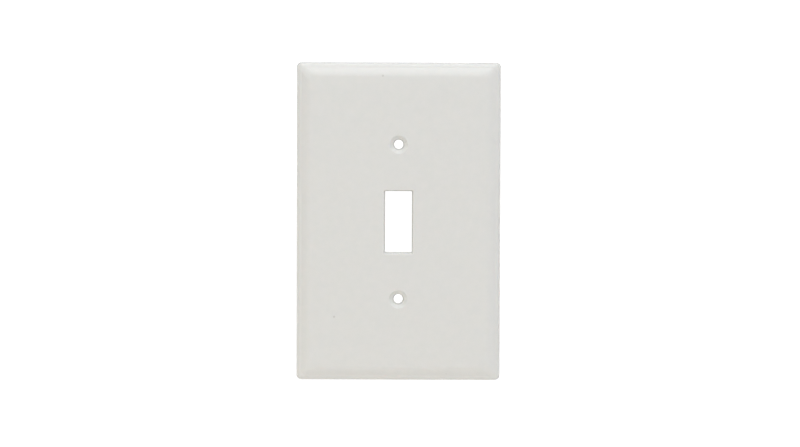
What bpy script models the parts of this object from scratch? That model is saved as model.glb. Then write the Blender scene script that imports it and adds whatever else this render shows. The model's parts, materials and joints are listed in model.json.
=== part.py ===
"""Single-gang toggle-switch wall plate, with its two mounting screws clipped behind it.

The plate stands upright as it does on a wall: +Z is up, X runs to the right seen from
the front, and the front faces -Y. The origin is the middle of the plate in the plane
of the wall, y = 0, where the back of the rim rests.
"""

import math

import bmesh
import bpy

MM = 0.001

# Plate: the mid-size single-gang cover
PLATE_WIDTH = 79.5 * MM
PLATE_HEIGHT = 124.0 * MM
PLATE_DEPTH = 6.35 * MM
WALL = 2.0 * MM
OUTLINE_RADIUS = 1.8 * MM
MITRE_RADIUS = 0.12 * MM
CORNER_STEPS = 6

# Edge of the front: drafted skirt, rounded lip, then a bevel that bends into the face
SKIRT_DRAFT = 0.2 * MM
LIP_RADIUS = 1.3 * MM
LIP_STEPS = 5
BEVEL_WIDTH = 2.3 * MM
BEVEL_ANGLE = math.radians(25.0)
BLEND_WIDTH = 1.6 * MM
BLEND_STEPS = 4

# Hollow back
RIM_WIDTH = 2.0 * MM
CAVITY_DRAFT = 0.4 * MM
CAVITY_BEVEL = 1.6 * MM
CAVITY_CORNER = 1.0 * MM

# Opening for the switch's toggle, smallest at its back edge
OPENING_WIDTH = 10.4 * MM
OPENING_HEIGHT = 23.7 * MM
OPENING_DRAFT = 0.5 * MM
OPENING_EDGE = 0.3 * MM
COLLAR_WALL = 1.5 * MM

# The two screw holes, at the standard spacing of a switch's threaded ears
HOLE_SPACING = 60.325 * MM
SINK_RADIUS = 3.6 * MM
SINK_HALF_ANGLE = math.radians(41.0)
HOLE_FRONT_RADIUS = 2.2 * MM
HOLE_BACK_RADIUS = 1.85 * MM
BOSS_RADIUS = 4.5 * MM
BOSS_DRAFT = 0.2 * MM
SEAT_Y = -1.7 * MM

# Stiffening ribs across the hollow
RIB_THICKNESS = 1.1 * MM
LONG_RIB_X = 14.5 * MM
LONG_RIB_HEIGHT = 1.5 * MM
CROSS_RIB_Z = (-21.0 * MM, 21.0 * MM)
CROSS_RIB_HEIGHT = 1.2 * MM

# Mounting screw: 6-32 by half an inch, slotted oval head
SCREW_LENGTH = 12.7 * MM
HEAD_RADIUS = 3.3 * MM
HEAD_LAND = 0.25 * MM
CROWN_HEIGHT = 1.0 * MM
CROWN_STEPS = 5
THREAD_RADIUS = 1.725 * MM
TIP_CHAMFER = 0.5 * MM
SLOT_WIDTH = 1.1 * MM
SLOT_FLOOR = -0.35 * MM

# Each screw lies upright in two notched keepers behind the face, clear of it by GAP
GAP = 0.3 * MM
SCREW_X = 25.0 * MM
SCREW_HEAD_Z = 6.0 * MM
SLOT_TURNS = {"left": math.radians(25.0), "right": math.radians(-40.0)}
KEEPER_Z = (2.5 * MM, -3.7 * MM)
KEEPER_THICKNESS = 1.4 * MM
KEEPER_ARM = 1.3 * MM
KEEPER_TOP_Y = -0.35 * MM

ROUND_STEPS = 32
SUNK = 0.8 * MM
MARGIN = 1.0 * MM
MERGE_DISTANCE = 0.00001

FACE_Y = -PLATE_DEPTH
CEILING_Y = FACE_Y + WALL
BLEND_RADIUS = BLEND_WIDTH / math.sin(BEVEL_ANGLE)
BLEND_RISE = BLEND_RADIUS * (1.0 - math.cos(BEVEL_ANGLE))
SCREW_Y = CEILING_Y + GAP + HEAD_RADIUS
FACING_FRONT = (math.radians(90.0), 0.0, 0.0)


def clear_scene():
    for old in list(bpy.data.objects):
        bpy.data.objects.remove(old, do_unlink=True)


def new_collection(name):
    collection = bpy.data.collections.new(name)
    bpy.context.scene.collection.children.link(collection)
    return collection


def make_material(name, colour, roughness, metallic):
    material = bpy.data.materials.new(name)
    material.use_nodes = True
    shader = material.node_tree.nodes["Principled BSDF"]
    shader.inputs["Base Color"].default_value = (*colour, 1.0)
    shader.inputs["Roughness"].default_value = roughness
    shader.inputs["Metallic"].default_value = metallic
    return material


def add_object(name, bm, collection):
    mesh = bpy.data.meshes.new(name)
    bm.to_mesh(mesh)
    bm.free()
    made = bpy.data.objects.new(name, mesh)
    collection.objects.link(made)
    return made


def hide_guide(guide):
    guide.hide_render = True
    guide.display_type = "WIRE"
    return guide


def add_box(name, low, high, guides):
    """A box between two corners."""
    bm = bmesh.new()
    bmesh.ops.create_cube(bm, size=1.0)
    size = [b - a for a, b in zip(low, high)]
    middle = [(a + b) / 2 for a, b in zip(low, high)]
    bmesh.ops.scale(bm, vec=size, verts=bm.verts)
    bmesh.ops.translate(bm, vec=middle, verts=bm.verts)
    return hide_guide(add_object(name, bm, guides))


def rounded_rectangle(half_width, half_height, radius, y):
    """Points of a rectangle with round corners in the plane y, in order around it."""
    points = []
    for quarter, (side_x, side_z) in enumerate(((1, 1), (-1, 1), (-1, -1), (1, -1))):
        centre_x = side_x * (half_width - radius)
        centre_z = side_z * (half_height - radius)
        for step in range(CORNER_STEPS + 1):
            angle = math.radians(90.0) * (quarter + step / CORNER_STEPS)
            x = centre_x + radius * math.cos(angle)
            z = centre_z + radius * math.sin(angle)
            points.append((x, y, z))
    return points


def loft(rings):
    """One closed surface through rings of equal length, capped at both ends."""
    bm = bmesh.new()
    rows = [[bm.verts.new(point) for point in ring] for ring in rings]
    for row, following in zip(rows, rows[1:]):
        for i in range(len(row)):
            j = (i + 1) % len(row)
            bm.faces.new((row[i], row[j], following[j], following[i]))
    bm.faces.new(rows[0])
    bm.faces.new(rows[-1])
    bmesh.ops.recalc_face_normals(bm, faces=bm.faces)
    return bm


def turned(name, profile, collection):
    """A profile of (radius, height) pairs, top to bottom, turned about local Z."""
    bm = bmesh.new()
    verts = [bm.verts.new((radius, 0.0, height)) for radius, height in profile]
    for upper, lower in zip(verts, verts[1:]):
        bm.edges.new((upper, lower))
    made = add_object(name, bm, collection)
    screw = made.modifiers.new("turn", "SCREW")
    screw.steps = ROUND_STEPS
    screw.render_steps = ROUND_STEPS
    screw.use_merge_vertices = True
    screw.merge_threshold = MERGE_DISTANCE
    return made


def combine(target, guide, operation):
    boolean = target.modifiers.new(guide.name, "BOOLEAN")
    boolean.operation = operation
    boolean.object = guide
    boolean.solver = "EXACT"


def shell_rings():
    """Rings from the front face, over the lip and the rim, to the ceiling of the hollow."""
    crease = SKIRT_DRAFT + LIP_RADIUS
    crease_y = FACE_Y + BLEND_RISE + BEVEL_WIDTH * math.tan(BEVEL_ANGLE)
    face_inset = crease + BEVEL_WIDTH + BLEND_WIDTH
    outside = []
    for step in range(BLEND_STEPS + 1):
        angle = BEVEL_ANGLE * step / BLEND_STEPS
        inset = face_inset - BLEND_RADIUS * math.sin(angle)
        outside.append((inset, FACE_Y + BLEND_RADIUS * (1.0 - math.cos(angle))))
    for step in range(LIP_STEPS + 1):
        angle = math.radians(90.0) * step / LIP_STEPS
        inset = crease - LIP_RADIUS * math.sin(angle)
        outside.append((inset, crease_y + LIP_RADIUS * (1.0 - math.cos(angle))))
    outside.append((0.0, 0.0))
    inner_wall = RIM_WIDTH + CAVITY_DRAFT
    inside = [
        (RIM_WIDTH, 0.0),
        (inner_wall, CEILING_Y + CAVITY_BEVEL / 2),
        (inner_wall + CAVITY_BEVEL, CEILING_Y),
    ]
    rings = []
    for inset, y in outside:
        radius = max(OUTLINE_RADIUS - inset, MITRE_RADIUS)
        rings.append(rounded_rectangle(PLATE_WIDTH / 2 - inset, PLATE_HEIGHT / 2 - inset, radius, y))
    for inset, y in inside:
        half_width = PLATE_WIDTH / 2 - inset
        rings.append(rounded_rectangle(half_width, PLATE_HEIGHT / 2 - inset, CAVITY_CORNER, y))
    return rings


def add_collar(guides):
    half_width = OPENING_WIDTH / 2 + COLLAR_WALL
    half_height = OPENING_HEIGHT / 2 + COLLAR_WALL
    low = (-half_width, CEILING_Y - SUNK, -half_height)
    high = (half_width, SEAT_Y, half_height)
    return add_box("collar", low, high, guides)


def add_boss(name, z, guides):
    profile = [
        (0.0, -CEILING_Y + SUNK),
        (BOSS_RADIUS, -CEILING_Y + SUNK),
        (BOSS_RADIUS - BOSS_DRAFT, -SEAT_Y),
        (0.0, -SEAT_Y),
    ]
    boss = turned(name, profile, guides)
    boss.rotation_euler = FACING_FRONT
    boss.location = (0.0, 0.0, z)
    return hide_guide(boss)


def add_ribs(guides):
    """Two long ribs beside the opening, and cross ribs from wall to wall."""
    half = RIB_THICKNESS / 2
    reach_x = PLATE_WIDTH / 2 - RIM_WIDTH - CAVITY_DRAFT / 2
    reach_z = PLATE_HEIGHT / 2 - RIM_WIDTH - CAVITY_DRAFT / 2
    ribs = []
    for side, x in (("left", -LONG_RIB_X), ("right", LONG_RIB_X)):
        low = (x - half, CEILING_Y - SUNK, -reach_z)
        high = (x + half, CEILING_Y + LONG_RIB_HEIGHT, reach_z)
        ribs.append(add_box(f"long_rib_{side}", low, high, guides))
    for place, z in zip(("lower", "upper"), CROSS_RIB_Z):
        low = (-reach_x, CEILING_Y - SUNK, z - half)
        high = (reach_x, CEILING_Y + CROSS_RIB_HEIGHT, z + half)
        ribs.append(add_box(f"cross_rib_{place}", low, high, guides))
    return ribs


def add_keepers(guides):
    """Two upright blocks across each stored screw."""
    half_width = THREAD_RADIUS + GAP + KEEPER_ARM
    keepers = []
    for side, x in (("left", -SCREW_X), ("right", SCREW_X)):
        for number, z in enumerate(KEEPER_Z, 1):
            low = (x - half_width, CEILING_Y - SUNK, z - KEEPER_THICKNESS / 2)
            high = (x + half_width, KEEPER_TOP_Y, z + KEEPER_THICKNESS / 2)
            keepers.append(add_box(f"keeper_{side}_{number}", low, high, guides))
    return keepers


def add_notch(side, x, guides):
    """A groove with a round floor, open to the back, that both keepers of a screw share."""
    radius = THREAD_RADIUS + GAP
    top = max(KEEPER_Z) + KEEPER_THICKNESS / 2 + GAP
    bottom = min(KEEPER_Z) - KEEPER_THICKNESS / 2 - GAP
    outline = [(radius, MARGIN), (-radius, MARGIN)]
    for step in range(ROUND_STEPS // 2 + 1):
        angle = math.pi + math.pi * step / (ROUND_STEPS // 2)
        outline.append((radius * math.cos(angle), SCREW_Y + radius * math.sin(angle)))
    rings = [[(x + across, y, z) for across, y in outline] for z in (bottom, top)]
    return hide_guide(add_object(f"notch_{side}", loft(rings), guides))


def add_opening_cutter(guides):
    """A tapered block, wider at the front than at the collar's back edge, with a broken edge."""
    slope = OPENING_DRAFT / (SEAT_Y - FACE_Y)
    edge_y = FACE_Y + OPENING_EDGE
    sections = (
        (FACE_Y - MARGIN, OPENING_DRAFT + OPENING_EDGE + MARGIN),
        (edge_y, slope * (SEAT_Y - edge_y)),
        (SEAT_Y + MARGIN, -slope * MARGIN),
    )
    rings = []
    for y, grown in sections:
        half_width = OPENING_WIDTH / 2 + grown
        half_height = OPENING_HEIGHT / 2 + grown
        rings.append(rounded_rectangle(half_width, half_height, MITRE_RADIUS, y))
    return hide_guide(add_object("opening_cutter", loft(rings), guides))


def add_hole_cutter(name, z, guides):
    """Countersink for an oval head, above a slightly tapered bore."""
    slope = math.tan(SINK_HALF_ANGLE)
    sink_depth = (SINK_RADIUS - HOLE_FRONT_RADIUS) / slope
    above_face = SINK_RADIUS + MARGIN * slope
    profile = [
        (0.0, -FACE_Y + MARGIN),
        (above_face, -FACE_Y + MARGIN),
        (HOLE_FRONT_RADIUS, -FACE_Y - sink_depth),
        (HOLE_BACK_RADIUS, -SEAT_Y - MARGIN),
        (0.0, -SEAT_Y - MARGIN),
    ]
    cutter = turned(name, profile, guides)
    cutter.rotation_euler = FACING_FRONT
    cutter.location = (0.0, 0.0, z)
    return hide_guide(cutter)


def make_plate(parts, guides):
    plate = add_object("wall_plate", loft(shell_rings()), parts)
    plate.data.materials.append(make_material("white_nylon", (0.72, 0.715, 0.69), 0.38, 0.0))
    holes = (("upper", HOLE_SPACING / 2), ("lower", -HOLE_SPACING / 2))
    screws = (("left", -SCREW_X), ("right", SCREW_X))
    added = [add_collar(guides), *add_ribs(guides), *add_keepers(guides)]
    added += [add_boss(f"boss_{place}", z, guides) for place, z in holes]
    cut = [add_opening_cutter(guides)]
    cut += [add_hole_cutter(f"{place}_hole_cutter", z, guides) for place, z in holes]
    cut += [add_notch(side, x, guides) for side, x in screws]
    for guide in added:
        combine(plate, guide, "UNION")
    for guide in cut:
        combine(plate, guide, "DIFFERENCE")
    return plate


def screw_profile():
    """Oval head, countersunk neck and plain shank at the thread's outer radius."""
    crown_radius = (HEAD_RADIUS**2 + CROWN_HEIGHT**2) / (2 * CROWN_HEIGHT)
    crown_centre = CROWN_HEIGHT - crown_radius
    profile = []
    for step in range(CROWN_STEPS + 1):
        radius = HEAD_RADIUS * step / CROWN_STEPS
        profile.append((radius, crown_centre + math.sqrt(crown_radius**2 - radius**2)))
    neck = HEAD_LAND + (HEAD_RADIUS - THREAD_RADIUS) / math.tan(SINK_HALF_ANGLE)
    profile += [
        (HEAD_RADIUS, -HEAD_LAND),
        (THREAD_RADIUS, -neck),
        (THREAD_RADIUS, TIP_CHAMFER - SCREW_LENGTH),
        (THREAD_RADIUS - TIP_CHAMFER, -SCREW_LENGTH),
        (0.0, -SCREW_LENGTH),
    ]
    return profile


def make_screw(side, x, material, parts, guides):
    """A screw lying upright in its keepers, head up."""
    screw = turned(f"mounting_screw_{side}", screw_profile(), parts)
    screw.data.materials.append(material)
    low = (-HEAD_RADIUS - MARGIN, -SLOT_WIDTH / 2, SLOT_FLOOR)
    high = (HEAD_RADIUS + MARGIN, SLOT_WIDTH / 2, CROWN_HEIGHT + MARGIN)
    slot = add_box(f"slot_cutter_{side}", low, high, guides)
    slot.parent = screw
    combine(screw, slot, "DIFFERENCE")
    screw.location = (x, SCREW_Y, SCREW_HEAD_Z)
    screw.rotation_euler = (0.0, 0.0, SLOT_TURNS[side])
    return screw


def main():
    clear_scene()
    parts = new_collection("wall_plate_cover")
    guides = new_collection("cutters")
    make_plate(parts, guides)
    for side, x in (("left", -SCREW_X), ("right", SCREW_X)):
        zinc = make_material(f"zinc_steel_{side}", (0.62, 0.62, 0.60), 0.32, 1.0)
        make_screw(side, x, zinc, parts, guides)


main()
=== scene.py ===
"""Looks of the toggle-switch wall plate: its fine surface, its plastic and its two screws."""

import json
import math

import bmesh
import bpy
from mathutils import Matrix, Vector


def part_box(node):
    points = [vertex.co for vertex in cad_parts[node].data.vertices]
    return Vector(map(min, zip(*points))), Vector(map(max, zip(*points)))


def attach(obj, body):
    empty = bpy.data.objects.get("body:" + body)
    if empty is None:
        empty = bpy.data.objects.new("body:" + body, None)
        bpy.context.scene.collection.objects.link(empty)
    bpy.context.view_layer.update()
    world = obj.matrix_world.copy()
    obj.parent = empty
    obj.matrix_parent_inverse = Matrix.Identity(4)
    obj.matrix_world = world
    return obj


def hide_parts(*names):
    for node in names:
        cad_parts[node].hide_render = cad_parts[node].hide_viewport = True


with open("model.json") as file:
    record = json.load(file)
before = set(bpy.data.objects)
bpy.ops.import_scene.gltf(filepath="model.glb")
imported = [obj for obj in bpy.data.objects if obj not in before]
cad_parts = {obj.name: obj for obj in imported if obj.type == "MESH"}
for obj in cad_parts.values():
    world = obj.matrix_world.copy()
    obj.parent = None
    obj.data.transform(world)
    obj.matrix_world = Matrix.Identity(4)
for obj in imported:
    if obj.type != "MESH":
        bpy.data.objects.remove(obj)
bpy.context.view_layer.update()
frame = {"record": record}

MM = 0.001
PLATE_LOW, PLATE_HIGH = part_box("wall_plate")

# Plate, from the frame
WIDTH = PLATE_HIGH.x - PLATE_LOW.x
HEIGHT = PLATE_HIGH.z - PLATE_LOW.z
FACE_Y = PLATE_LOW.y
WALL_Y = PLATE_HIGH.y
FACE_THICKNESS = 2.0 * MM
CEILING_Y = FACE_Y + FACE_THICKNESS
MOUNTS = {mount["name"]: mount["pos_m"] for mount in frame["record"]["mounts"]}
_, SEAT_Y, HOLE_Z = MOUNTS["upper_boss_seat"]

# Front edge: width, then tilt at the inner and outer end, of each run from the face out to the lip;
# its corners get rounder by a share of the distance in from the outline
OUTLINE_RADIUS = 1.8 * MM
SKIRT_DRAFT = 0.2 * MM
LIP_RADIUS = 1.1 * MM
LIP_END_TILT = math.radians(88.0)
FACE_CROWN = (4.5 * MM, math.radians(0.0), math.radians(3.0))
BLEND = (2.1 * MM, math.radians(3.0), math.radians(22.0))
BEVEL = (1.8 * MM, math.radians(22.0), math.radians(27.0))
SHOULDER = (1.2 * MM, math.radians(12.0), math.radians(32.0))
CORNER_GROWTH = 0.2

# Toggle opening, clear size at its back edge
OPENING_WIDTH = 10.4 * MM
OPENING_HEIGHT = 23.7 * MM
OPENING_DRAFT = 0.5 * MM
OPENING_EDGE = 0.25 * MM
OPENING_CORNER = 0.15 * MM
COLLAR_WALL = 1.5 * MM
COLLAR_CORNER = 0.8 * MM

# Screw holes
SINK_RADIUS = 3.55 * MM
SINK_HALF_ANGLE = math.radians(41.0)
SINK_EDGE = 0.35 * MM
BORE_FRONT_RADIUS = 2.2 * MM
BORE_BACK_RADIUS = 1.78 * MM
BOSS_RADIUS = 4.5 * MM

# Hollow back
RIM_WIDTH = 2.0 * MM
CAVITY_DRAFT = 0.4 * MM
CAVITY_BEVEL = 1.6 * MM
CAVITY_CORNER = 1.0 * MM
RIM_EDGE = 0.25 * MM
RIB_THICKNESS = 1.1 * MM
RIB_FILLET = 0.35 * MM
RIB_EDGE = 0.2 * MM
LONG_RIB_X = 14.5 * MM
LONG_RIB_HEIGHT = 1.5 * MM
CROSS_RIB_Z = 21.0 * MM
CROSS_RIB_HEIGHT = 1.2 * MM
EJECTOR_RADIUS = 2.2 * MM
EJECTOR_DEPTH = 0.08 * MM
EJECTOR_X = 25.0 * MM
EJECTOR_Z = (-48.0 * MM, -30.0 * MM, 30.0 * MM, 48.0 * MM)

# Keepers of the stored screws
KEEPER_Z = (2.5 * MM, -3.7 * MM)
KEEPER_THICKNESS = 1.4 * MM
KEEPER_HALF_WIDTH = 3.325 * MM
KEEPER_TOP_Y = -0.35 * MM
KEEPER_EDGE = 0.22 * MM
NOTCH_RADIUS = 2.025 * MM
NOTCH_FLARE = 0.25 * MM

# Mounting screws
SCREW_SIDES = ("left", "right")
HEAD_RADIUS = 3.3 * MM
HEAD_LAND = 0.25 * MM
HEAD_EDGE = 0.08 * MM
CROWN_HEIGHT = 1.0 * MM
PAINTED_CONE = 0.6 * MM
SCREW_LENGTH = 12.7 * MM
THREAD_RADIUS = 1.725 * MM
ROOT_RADIUS = 1.3 * MM
THREAD_PITCH = 25.4 / 32 * MM
CREST_SHARE = 0.1
FLANK_SHARE = 0.75
TIP_CHAMFER = 0.5 * MM
SLOT_WIDTH = 1.1 * MM
SLOT_FLOOR = -0.35 * MM
SLOT_TURNS = {"left": math.radians(25.0), "right": math.radians(-40.0)}

# How far an added piece is sunk into the plate, and how far a cutter stands out of it
SUNK = 0.8 * MM
MARGIN = 1.0 * MM
FACING_FRONT = (math.radians(90.0), 0.0, 0.0)

# Edges steeper than this are shaded sharp
PLATE_CREASE = math.radians(28.0)
SCREW_CREASE = math.radians(40.0)

# Floor, and the point that the lights face
FLOOR_RADIUS = 0.9
FLOOR_Z = -0.36
MIDDLE = Vector((0.0, 0.0, 0.0))


# ---------------------------------------------------------------- mesh helpers


def add_object(name, bm):
    """A new object in the scene from a bmesh, which is then freed."""
    mesh = bpy.data.meshes.new(name)
    bmesh.ops.recalc_face_normals(bm, faces=bm.faces)
    bm.to_mesh(mesh)
    bm.free()
    made = bpy.data.objects.new(name, mesh)
    bpy.context.scene.collection.objects.link(made)
    return made


def rounded_rectangle(half_width, half_height, radius, y, steps=12):
    """Points of a rectangle with round corners in the plane y, in order around it."""
    points = []
    for quarter, (side_x, side_z) in enumerate(((1, 1), (-1, 1), (-1, -1), (1, -1))):
        centre_x = side_x * (half_width - radius)
        centre_z = side_z * (half_height - radius)
        for step in range(steps + 1):
            angle = math.radians(90.0) * (quarter + step / steps)
            x = centre_x + radius * math.cos(angle)
            z = centre_z + radius * math.sin(angle)
            points.append((x, y, z))
    return points


def loft(rings):
    """One closed surface through rings of equal length, capped at both ends."""
    bm = bmesh.new()
    rows = [[bm.verts.new(point) for point in ring] for ring in rings]
    for row, following in zip(rows, rows[1:]):
        for i in range(len(row)):
            j = (i + 1) % len(row)
            bm.faces.new((row[i], row[j], following[j], following[i]))
    bm.faces.new(rows[0])
    bm.faces.new(rows[-1])
    return bm


def turned(name, profile, steps=96):
    """A closed body from (radius, height) pairs turned about local Z, with flat ends."""
    rings = []
    for radius, height in profile:
        ring = []
        for step in range(steps):
            angle = math.tau * step / steps
            ring.append((radius * math.cos(angle), radius * math.sin(angle), height))
        rings.append(ring)
    return add_object(name, loft(rings))


def arc(centre, radius, start, end, steps):
    """Points of an arc in a plane, from one angle to another, both in degrees."""
    points = []
    for step in range(steps + 1):
        angle = math.radians(start + (end - start) * step / steps)
        points.append((centre[0] + radius * math.cos(angle), centre[1] + radius * math.sin(angle)))
    return points


def combine(target, other, operation):
    """Joins or cuts by another object, which is then removed."""
    boolean = target.modifiers.new(operation, "BOOLEAN")
    boolean.operation = operation
    boolean.object = other
    boolean.solver = "EXACT"
    graph = bpy.context.evaluated_depsgraph_get()
    mesh = bpy.data.meshes.new_from_object(target.evaluated_get(graph))
    target.modifiers.clear()
    target.data = mesh
    bpy.data.objects.remove(other, do_unlink=True)


def shade(piece, angle):
    """Smooth shading with sharp edges, whose normals the large flat faces lead."""
    piece.data.shade_smooth()
    piece.data.set_sharp_from_angle(angle=angle)
    weighted = piece.modifiers.new("weighted_normals", "WEIGHTED_NORMAL")
    weighted.keep_sharp = True
    weighted.weight = 100


# ---------------------------------------------------------------- the plate


def front_profile():
    """(inset, y) points from the flat face out over the bevel and lip to the wall plane."""
    runs = (FACE_CROWN, BLEND, BEVEL, SHOULDER)
    run_steps = 10
    lip_steps = 12
    lip_tilt = SHOULDER[2]
    inset = SKIRT_DRAFT + LIP_RADIUS * (1 - math.sin(lip_tilt)) + sum(width for width, _, _ in runs)
    y = FACE_Y
    points = [(inset, y)]
    for width, inner_tilt, outer_tilt in runs:
        for step in range(run_steps):
            tilt = inner_tilt + (outer_tilt - inner_tilt) * (step + 0.5) / run_steps
            inset -= width / run_steps
            y += width / run_steps * math.tan(tilt)
            points.append((inset, y))
    lip_inset = inset + LIP_RADIUS * math.sin(lip_tilt)
    lip_y = y + LIP_RADIUS * math.cos(lip_tilt)
    for step in range(1, lip_steps + 1):
        tilt = lip_tilt + (LIP_END_TILT - lip_tilt) * step / lip_steps
        points.append((lip_inset - LIP_RADIUS * math.sin(tilt), lip_y - LIP_RADIUS * math.cos(tilt)))
    points.append((0.0, WALL_Y - RIM_EDGE))
    points += [(RIM_EDGE - a, WALL_Y - RIM_EDGE + b) for a, b in arc((0, 0), RIM_EDGE, 0, 90, 4)[1:]]
    return points


def back_profile():
    """(inset, y) points from the rim's back in to the ceiling of the hollow."""
    wall_inset = RIM_WIDTH + CAVITY_DRAFT
    points = arc((RIM_WIDTH - RIM_EDGE, WALL_Y - RIM_EDGE), RIM_EDGE, 90, 0, 4)
    points.append((wall_inset, CEILING_Y + CAVITY_BEVEL / 2))
    points.append((wall_inset + CAVITY_BEVEL, CEILING_Y))
    return points


def shell():
    """The plate's skin, front and back, before anything is added or cut."""
    rings = []
    for inset, y in front_profile():
        radius = OUTLINE_RADIUS + CORNER_GROWTH * inset
        rings.append(rounded_rectangle(WIDTH / 2 - inset, HEIGHT / 2 - inset, radius, y))
    for inset, y in back_profile():
        rings.append(rounded_rectangle(WIDTH / 2 - inset, HEIGHT / 2 - inset, CAVITY_CORNER, y))
    return add_object("moulded_plate", loft(rings))


def rib_section(half, height):
    """Half a rib's section, base first: (distance from its middle, height above the ceiling)."""
    fillet = [(half + RIB_FILLET - a, RIB_FILLET - b) for a, b in arc((0, 0), RIB_FILLET, 90, 0, 5)]
    crest = [(half - RIB_EDGE + a, height - RIB_EDGE + b) for a, b in arc((0, 0), RIB_EDGE, 0, 90, 4)]
    return [(half + RIB_FILLET, -SUNK), *fillet, *crest]


def rib(name, middle, reach, height, along_x):
    """A straight rib with a fillet at its foot and a rounded crest."""
    side = rib_section(RIB_THICKNESS / 2, height)
    section = side + [(-across, up) for across, up in reversed(side)]
    rings = []
    for end in (-reach, reach):
        ring = []
        for across, up in section:
            x, z = (end, middle + across) if along_x else (middle + across, end)
            ring.append((x, CEILING_Y + up, z))
        rings.append(ring)
    return add_object(name, loft(rings))


def collar():
    """A raised frame round the opening, filleted at its foot."""
    height = SEAT_Y - CEILING_Y
    rings = []
    for grown, up in rib_section(COLLAR_WALL, height):
        half_width = OPENING_WIDTH / 2 + grown
        half_height = OPENING_HEIGHT / 2 + grown
        rings.append(rounded_rectangle(half_width, half_height, COLLAR_CORNER, CEILING_Y + up, 6))
    return add_object("collar", loft(rings))


def boss(z):
    """A round pad behind a screw hole, filleted at its foot."""
    side = rib_section(BOSS_RADIUS, SEAT_Y - CEILING_Y)
    made = turned("boss", [(radius, -up) for radius, up in side])
    made.rotation_euler = FACING_FRONT
    made.location = (0.0, CEILING_Y, z)
    return made


def keeper(x, z):
    """One upright block with rounded edges."""
    bm = bmesh.new()
    bmesh.ops.create_cube(bm, size=1.0)
    low_y = CEILING_Y - SUNK
    size = Vector((2 * KEEPER_HALF_WIDTH, KEEPER_TOP_Y - low_y, KEEPER_THICKNESS))
    bmesh.ops.scale(bm, vec=size, verts=bm.verts)
    bmesh.ops.translate(bm, vec=(x, (KEEPER_TOP_Y + low_y) / 2, z), verts=bm.verts)
    bmesh.ops.bevel(bm, geom=list(bm.edges), offset=KEEPER_EDGE, segments=4, profile=0.5, affect="EDGES")
    return add_object("keeper", bm)


def notch_cutter(x, screw_y):
    """The groove of one screw's keepers, flared a little at its mouth."""
    length = max(KEEPER_Z) - min(KEEPER_Z) + KEEPER_THICKNESS + 2 * MARGIN
    middle = (max(KEEPER_Z) + min(KEEPER_Z)) / 2
    mouth = NOTCH_RADIUS + NOTCH_FLARE
    outline = [(mouth, MARGIN), (-mouth, MARGIN), (-mouth, KEEPER_TOP_Y)]
    outline.append((-NOTCH_RADIUS, KEEPER_TOP_Y - NOTCH_FLARE))
    outline += arc((0, screw_y), NOTCH_RADIUS, 180, 360, 24)
    outline += [(NOTCH_RADIUS, KEEPER_TOP_Y - NOTCH_FLARE), (mouth, KEEPER_TOP_Y)]
    rings = []
    for z in (middle - length / 2, middle + length / 2):
        rings.append([(x + across, y, z) for across, y in outline])
    return add_object("notch_cutter", loft(rings))


def opening_cutter():
    """A drafted block that flares into a small radius at the face."""
    slope = OPENING_DRAFT / (SEAT_Y - FACE_Y)
    edge_y = FACE_Y + OPENING_EDGE
    sections = [(SEAT_Y + MARGIN, -slope * MARGIN), (SEAT_Y, 0.0)]
    front_grown = slope * (SEAT_Y - edge_y)
    for a, b in arc((0, 0), OPENING_EDGE, 0, 90, 8):
        sections.append((edge_y - b, front_grown + OPENING_EDGE - a))
    sections.append((FACE_Y - MARGIN, front_grown + OPENING_EDGE))
    rings = []
    for y, grown in sections:
        half_width = OPENING_WIDTH / 2 + grown
        half_height = OPENING_HEIGHT / 2 + grown
        rings.append(rounded_rectangle(half_width, half_height, OPENING_CORNER, y, 8))
    return add_object("opening_cutter", loft(rings))


def hole_cutter(z):
    """Countersink with a softened rim, above a slightly tapered bore."""
    slope = math.tan(SINK_HALF_ANGLE)
    sink_depth = (SINK_RADIUS - BORE_FRONT_RADIUS) / slope
    depth_to_seat = SEAT_Y - FACE_Y
    flat = 90.0 - math.degrees(SINK_HALF_ANGLE)
    reach = SINK_EDGE * math.tan(math.radians(flat / 2))
    rim_centre = (SINK_RADIUS + reach, -SINK_EDGE)
    rim = arc(rim_centre, SINK_EDGE, 90.0, 90.0 + flat, 8)
    profile = [(rim_centre[0], MARGIN), *rim]
    profile.append((BORE_FRONT_RADIUS, -sink_depth))
    profile.append((BORE_BACK_RADIUS, -depth_to_seat))
    profile.append((BORE_BACK_RADIUS, -depth_to_seat - MARGIN))
    made = turned("hole_cutter", profile)
    made.rotation_euler = FACING_FRONT
    made.location = (0.0, FACE_Y, z)
    return made


def ejector_cutter(x, z):
    """A shallow round mark in the ceiling of the hollow."""
    profile = [(EJECTOR_RADIUS, EJECTOR_DEPTH), (EJECTOR_RADIUS, -MARGIN / 2)]
    made = turned("ejector_cutter", profile, 48)
    made.rotation_euler = FACING_FRONT
    made.location = (x, CEILING_Y, z)
    return made


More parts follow.
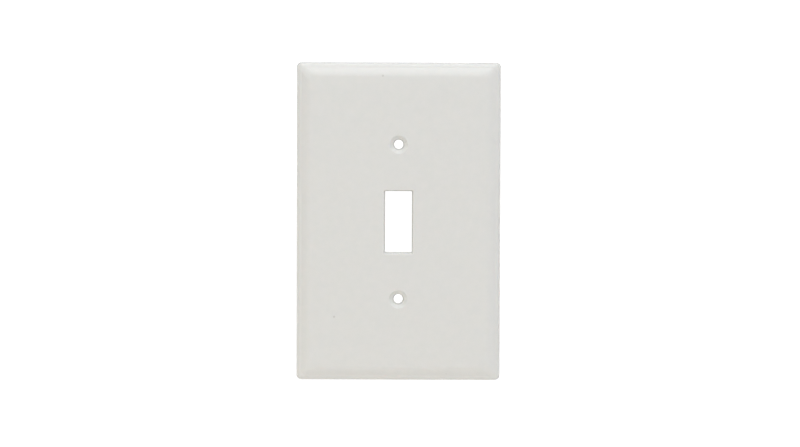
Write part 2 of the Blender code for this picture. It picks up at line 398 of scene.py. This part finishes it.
def make_plate():
    """The whole moulding, standing for the CAD plate."""
    plate = shell()
    reach_x = WIDTH / 2 - RIM_WIDTH - CAVITY_DRAFT
    reach_z = HEIGHT / 2 - RIM_WIDTH - CAVITY_DRAFT
    added = [collar(), boss(HOLE_Z), boss(-HOLE_Z)]
    added += [rib("long_rib", x, reach_z, LONG_RIB_HEIGHT, False) for x in (-LONG_RIB_X, LONG_RIB_X)]
    added += [rib("cross_rib", z, reach_x, CROSS_RIB_HEIGHT, True) for z in (-CROSS_RIB_Z, CROSS_RIB_Z)]
    cut = [opening_cutter(), hole_cutter(HOLE_Z), hole_cutter(-HOLE_Z)]
    for side in SCREW_SIDES:
        x, y, _ = screw_place(side)
        added += [keeper(x, z) for z in KEEPER_Z]
        cut.append(notch_cutter(x, y))
    cut += [ejector_cutter(x, z) for x in (-EJECTOR_X, EJECTOR_X) for z in EJECTOR_Z]
    for other in added:
        combine(plate, other, "UNION")
    for other in cut:
        combine(plate, other, "DIFFERENCE")
    plate.data.materials.clear()
    plate.data.materials.append(white_plastic())
    shade(plate, PLATE_CREASE)
    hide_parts("wall_plate")
    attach(plate, "plate")


# ---------------------------------------------------------------- the screws


def screw_place(side):
    """Where a screw's axis meets its head's edge plane, from its CAD node."""
    low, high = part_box(f"mounting_screw_{side}")
    return Vector(((low.x + high.x) / 2, (low.y + high.y) / 2, high.z - CROWN_HEIGHT))


def thread_depth(angle, depth_below_head, neck):
    """How far the thread is cut in at a point of the shank, 0 at a crest."""
    phase = (depth_below_head / THREAD_PITCH + angle / math.tau) % 1.0
    from_crest = abs(2 * phase - 1)
    shape = min(max((from_crest - CREST_SHARE) / FLANK_SHARE, 0.0), 1.0)
    run_out = min(max((depth_below_head - neck) / THREAD_PITCH, 0.0), 1.0)
    return (THREAD_RADIUS - ROOT_RADIUS) * shape * run_out


def screw_body():
    """Crown, neck and threaded shank as one closed surface about local Z, head up."""
    around = 64
    crown_steps = 24
    cone_steps = 8
    steps_per_turn = 14
    crown_radius = (HEAD_RADIUS**2 + CROWN_HEIGHT**2) / (2 * CROWN_HEIGHT)
    crown_centre = CROWN_HEIGHT - crown_radius
    neck = HEAD_LAND + (HEAD_RADIUS - THREAD_RADIUS) / math.tan(SINK_HALF_ANGLE)
    rows = []
    for step in range(1, crown_steps + 1):
        radius = (HEAD_RADIUS - HEAD_EDGE) * step / crown_steps
        rows.append((radius, crown_centre + math.sqrt(crown_radius**2 - radius**2)))
    rows += [(HEAD_RADIUS, -HEAD_EDGE), (HEAD_RADIUS, -HEAD_LAND)]
    for step in range(1, cone_steps + 1):
        share = step / cone_steps
        radius = HEAD_RADIUS + (THREAD_RADIUS - HEAD_RADIUS) * share
        rows.append((radius, -HEAD_LAND - (neck - HEAD_LAND) * share))
    shank = SCREW_LENGTH - neck
    shank_steps = round(shank / THREAD_PITCH * steps_per_turn)
    rows += [(THREAD_RADIUS, -neck - shank * step / shank_steps) for step in range(1, shank_steps + 1)]
    rings = []
    for radius, height in rows:
        ring = []
        for step in range(around):
            angle = math.tau * step / around
            r = radius
            if -height > neck:
                r -= thread_depth(angle, -height, neck)
                r = min(r, THREAD_RADIUS - TIP_CHAMFER + (SCREW_LENGTH + height))
            ring.append((r * math.cos(angle), r * math.sin(angle), height))
        rings.append(ring)
    return loft(rings)


def slot_cutter():
    """A block across the head, down to the slot's floor."""
    bm = bmesh.new()
    bmesh.ops.create_cube(bm, size=1.0)
    top = CROWN_HEIGHT + MARGIN
    bmesh.ops.scale(bm, vec=(2 * HEAD_RADIUS + MARGIN, SLOT_WIDTH, top - SLOT_FLOOR), verts=bm.verts)
    bmesh.ops.translate(bm, vec=(0.0, 0.0, (top + SLOT_FLOOR) / 2), verts=bm.verts)
    return add_object("slot_cutter", bm)


def make_screw(side, plating, paint):
    """One stored screw: painted head, plated shank, standing for its CAD node."""
    screw = add_object(f"screw_{side}", screw_body())
    combine(screw, slot_cutter(), "DIFFERENCE")
    screw.data.materials.clear()
    screw.data.materials.append(plating)
    screw.data.materials.append(paint)
    for face in screw.data.polygons:
        face.material_index = 1 if face.center.z > -HEAD_LAND - PAINTED_CONE else 0
    screw.data.shade_smooth()
    screw.data.set_sharp_from_angle(angle=SCREW_CREASE)
    screw.data.transform(Matrix.Rotation(SLOT_TURNS[side], 4, "Z"))
    screw.location = screw_place(side)
    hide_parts(f"mounting_screw_{side}")
    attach(screw, f"{side}_screw")


# ---------------------------------------------------------------- materials


def new_material(name):
    """A new material, its node tree and its Principled shader."""
    material = bpy.data.materials.new(name)
    material.use_nodes = True
    return material, material.node_tree, material.node_tree.nodes["Principled BSDF"]


def add_noise(tree, scale, detail, roughness):
    """Noise in object space, so it keeps to the piece; scale is in waves per metre."""
    place = tree.nodes.new("ShaderNodeTexCoord")
    noise = tree.nodes.new("ShaderNodeTexNoise")
    noise.inputs["Scale"].default_value = scale
    noise.inputs["Detail"].default_value = detail
    noise.inputs["Roughness"].default_value = roughness
    tree.links.new(place.outputs["Object"], noise.inputs["Vector"])
    return noise


def add_range(tree, source, low, high, from_low=0.0, from_high=1.0):
    """A value carried over from one range to another, and held at its ends."""
    ranged = tree.nodes.new("ShaderNodeMapRange")
    ranged.inputs["From Min"].default_value = from_low
    ranged.inputs["From Max"].default_value = from_high
    ranged.inputs["To Min"].default_value = low
    ranged.inputs["To Max"].default_value = high
    tree.links.new(source, ranged.inputs["Value"])
    return ranged.outputs["Result"]


def add_mix(tree, factor, first, second):
    """A colour between two, each given as a colour or as a socket."""
    mix = tree.nodes.new("ShaderNodeMix")
    mix.data_type = "RGBA"
    for socket, value in (("A", first), ("B", second)):
        target = next(s for s in mix.inputs if s.name == socket and s.type == "RGBA")
        if isinstance(value, tuple):
            target.default_value = (*value, 1.0)
        else:
            tree.links.new(value, target)
    tree.links.new(factor, mix.inputs["Factor"])
    return next(s for s in mix.outputs if s.type == "RGBA")


def add_bump(tree, height, distance, normal=None):
    """Relief from a height of 0 to 1, over an earlier relief if there is one."""
    bump = tree.nodes.new("ShaderNodeBump")
    bump.inputs["Distance"].default_value = distance
    bump.inputs["Strength"].default_value = 1.0
    tree.links.new(height, bump.inputs["Height"])
    if normal:
        tree.links.new(normal, bump.inputs["Normal"])
    return bump.outputs["Normal"]


def add_specks(tree, scale, share, size):
    """A mask of sparse round specks: 1 in a speck's middle, 0 elsewhere."""
    place = tree.nodes.new("ShaderNodeTexCoord")
    cells = tree.nodes.new("ShaderNodeTexVoronoi")
    cells.inputs["Scale"].default_value = scale
    tree.links.new(place.outputs["Object"], cells.inputs["Vector"])
    near = add_range(tree, cells.outputs["Distance"], 1.0, 0.0, size * 0.4, size)
    pick = tree.nodes.new("ShaderNodeSeparateColor")
    tree.links.new(cells.outputs["Color"], pick.inputs["Color"])
    chosen = tree.nodes.new("ShaderNodeMath")
    chosen.operation = "LESS_THAN"
    chosen.inputs[1].default_value = share
    tree.links.new(pick.outputs["Red"], chosen.inputs[0])
    both = tree.nodes.new("ShaderNodeMath")
    both.operation = "MULTIPLY"
    tree.links.new(near, both.inputs[0])
    tree.links.new(chosen.outputs["Value"], both.inputs[1])
    return both.outputs["Value"]


def white_plastic():
    """Moulded nylon: nearly even white with faint mottling, fine grain and a few specks."""
    material, tree, shader = new_material("moulded_nylon")
    mottle = add_noise(tree, scale=400.0, detail=3.0, roughness=0.6)
    shift = add_range(tree, mottle.outputs["Fac"], 0.0, 1.0, 0.3, 0.7)
    white = add_mix(tree, shift, (0.843, 0.848, 0.828), (0.867, 0.865, 0.845))
    specks = add_range(tree, add_specks(tree, scale=160.0, share=0.03, size=0.09), 0.0, 0.35)
    colour = add_mix(tree, specks, white, (0.45, 0.43, 0.40))
    tree.links.new(colour, shader.inputs["Base Color"])
    polish = add_noise(tree, scale=900.0, detail=3.0, roughness=0.5)
    tree.links.new(add_range(tree, polish.outputs["Fac"], 0.21, 0.29), shader.inputs["Roughness"])
    grain = add_noise(tree, scale=2600.0, detail=2.0, roughness=0.5)
    waves = add_noise(tree, scale=180.0, detail=2.0, roughness=0.5)
    fine = add_bump(tree, grain.outputs["Fac"], 0.004 * MM)
    relief = add_bump(tree, waves.outputs["Fac"], 0.03 * MM, fine)
    tree.links.new(relief, shader.inputs["Normal"])
    shader.inputs["IOR"].default_value = 1.5
    shader.inputs["Subsurface Weight"].default_value = 0.12
    shader.inputs["Subsurface Radius"].default_value = (1.0, 0.8, 0.6)
    shader.inputs["Subsurface Scale"].default_value = 0.8 * MM
    return material


def zinc_steel():
    """Bright zinc plating, faintly clouded, with a fine grain."""
    material, tree, shader = new_material("zinc_steel")
    cloud = add_noise(tree, scale=900.0, detail=4.0, roughness=0.6)
    colour = add_mix(tree, cloud.outputs["Fac"], (0.50, 0.51, 0.52), (0.68, 0.68, 0.66))
    tree.links.new(colour, shader.inputs["Base Color"])
    tree.links.new(add_range(tree, cloud.outputs["Fac"], 0.24, 0.42), shader.inputs["Roughness"])
    fine = add_noise(tree, scale=6000.0, detail=2.0, roughness=0.5)
    tree.links.new(add_bump(tree, fine.outputs["Fac"], 0.003 * MM), shader.inputs["Normal"])
    shader.inputs["Metallic"].default_value = 1.0
    return material


def head_paint():
    """White enamel on the heads, close to the plate's white, with a faint orange peel."""
    material, tree, shader = new_material("head_paint")
    cloud = add_noise(tree, scale=500.0, detail=3.0, roughness=0.5)
    colour = add_mix(tree, cloud.outputs["Fac"], (0.82, 0.82, 0.795), (0.855, 0.855, 0.83))
    tree.links.new(colour, shader.inputs["Base Color"])
    tree.links.new(add_range(tree, cloud.outputs["Fac"], 0.2, 0.32), shader.inputs["Roughness"])
    peel = add_noise(tree, scale=1800.0, detail=2.0, roughness=0.5)
    tree.links.new(add_bump(tree, peel.outputs["Fac"], 0.01 * MM), shader.inputs["Normal"])
    return material


# ---------------------------------------------------------------- studio


def make_floor():
    """A wide pale floor well below the plate, fading out at its edge."""
    bm = bmesh.new()
    bmesh.ops.create_circle(bm, cap_ends=True, radius=FLOOR_RADIUS, segments=96)
    floor = add_object("floor", bm)
    floor.location = (0.0, 0.0, FLOOR_Z)
    material, tree, shader = new_material("pale_floor")
    shader.inputs["Roughness"].default_value = 0.9
    cloud = add_noise(tree, scale=3.0, detail=2.0, roughness=0.5)
    colour = add_mix(tree, cloud.outputs["Fac"], (0.86, 0.845, 0.82), (0.87, 0.855, 0.83))
    tree.links.new(colour, shader.inputs["Base Color"])
    place = tree.nodes.new("ShaderNodeTexCoord")
    reach = tree.nodes.new("ShaderNodeVectorMath")
    reach.operation = "LENGTH"
    tree.links.new(place.outputs["Object"], reach.inputs[0])
    inner, outer = FLOOR_RADIUS * 0.3, FLOOR_RADIUS * 0.95
    fade = add_range(tree, reach.outputs["Value"], 1.0, 0.0, inner, outer)
    tree.links.new(fade, shader.inputs["Alpha"])
    floor.data.materials.append(material)


def make_world():
    """Even soft light, dimmer from behind, in front of a plain white background."""
    world = bpy.data.worlds.new("studio")
    bpy.context.scene.world = world
    world.use_nodes = True
    tree = world.node_tree
    background = tree.nodes["Background"]
    place = tree.nodes.new("ShaderNodeTexCoord")
    parts = tree.nodes.new("ShaderNodeSeparateXYZ")
    tree.links.new(place.outputs["Generated"], parts.inputs[0])
    behind = add_range(tree, parts.outputs["Y"], 0.0, 1.0, -0.3, 0.3)
    light = add_mix(tree, behind, (0.42, 0.42, 0.42), (0.20, 0.20, 0.20))
    path = tree.nodes.new("ShaderNodeLightPath")
    colour = add_mix(tree, path.outputs["Is Camera Ray"], light, (1.1, 1.1, 1.1))
    tree.links.new(colour, background.inputs["Color"])
    background.inputs["Strength"].default_value = 1.0


def add_light(name, place, size, energy, colour):
    """A soft rectangular light that faces the plate's middle, unseen by the camera."""
    light = bpy.data.lights.new(name, "AREA")
    light.shape = "RECTANGLE"
    light.size, light.size_y = size
    light.energy = energy
    light.color = colour
    made = bpy.data.objects.new(name, light)
    made.location = place
    made.rotation_euler = (MIDDLE - Vector(place)).to_track_quat("-Z", "Y").to_euler()
    made.visible_camera = False
    bpy.context.scene.collection.objects.link(made)


def make_lights():
    """Softboxes high in front, a cool fill at the right, warm fills below and three lights behind."""
    add_light("top_softbox", (0.0, -0.93, 0.84), (1.0, 0.8), 3.4, (0.97, 0.99, 1.0))
    add_light("high_softbox", (0.0, -0.59, 1.1), (1.0, 0.5), 3.3, (0.98, 0.99, 1.0))
    add_light("overhead_softbox", (0.0, -0.2, 1.1), (0.9, 0.5), 1.1, (1.0, 1.0, 1.0))
    add_light("right_fill", (0.8, -0.7, 0.0), (0.6, 0.8), 0.7, (0.87, 0.89, 1.0))
    add_light("low_fill", (0.0, -0.5, -0.33), (1.1, 0.35), 0.45, (1.0, 0.94, 0.85))
    add_light("low_bounce", (-0.5, -0.5, -0.3), (0.7, 0.4), 0.6, (1.0, 0.84, 0.54))
    add_light("rim_left", (-0.9, 0.7, 0.1), (0.5, 0.9), 4.2, (1.0, 0.97, 0.9))
    add_light("rim_right", (0.9, 0.7, 0.1), (0.5, 0.9), 5.0, (1.0, 0.98, 0.93))
    add_light("rim_top", (0.0, 0.7, 0.9), (0.9, 0.5), 4.2, (1.0, 1.0, 1.0))


def make_camera():
    """Straight in front and slightly above, with little perspective."""
    distance = 1.3
    elevation = math.radians(2.8)
    field_width = 0.3114
    camera = bpy.data.cameras.new("camera")
    camera.lens = camera.sensor_width * distance / field_width
    camera.clip_start, camera.clip_end = 0.01, 20.0
    made = bpy.data.objects.new("camera", camera)
    bpy.context.scene.collection.objects.link(made)
    back = Vector((0.0, -math.cos(elevation), math.sin(elevation)))
    aim = Vector((0.6 * MM, FACE_Y, -0.54 * MM))
    roll = Matrix.Rotation(math.radians(0.2), 4, "Z")
    turn = (-back).to_track_quat("-Z", "Y").to_matrix().to_4x4() @ roll
    made.matrix_world = Matrix.Translation(aim + back * distance) @ turn
    bpy.context.scene.camera = made


def main():
    make_plate()
    plating, paint = zinc_steel(), head_paint()
    for side in SCREW_SIDES:
        make_screw(side, plating, paint)
    make_floor()
    make_world()
    make_lights()
    make_camera()
    bpy.context.scene.view_settings.view_transform = "Standard"


main()
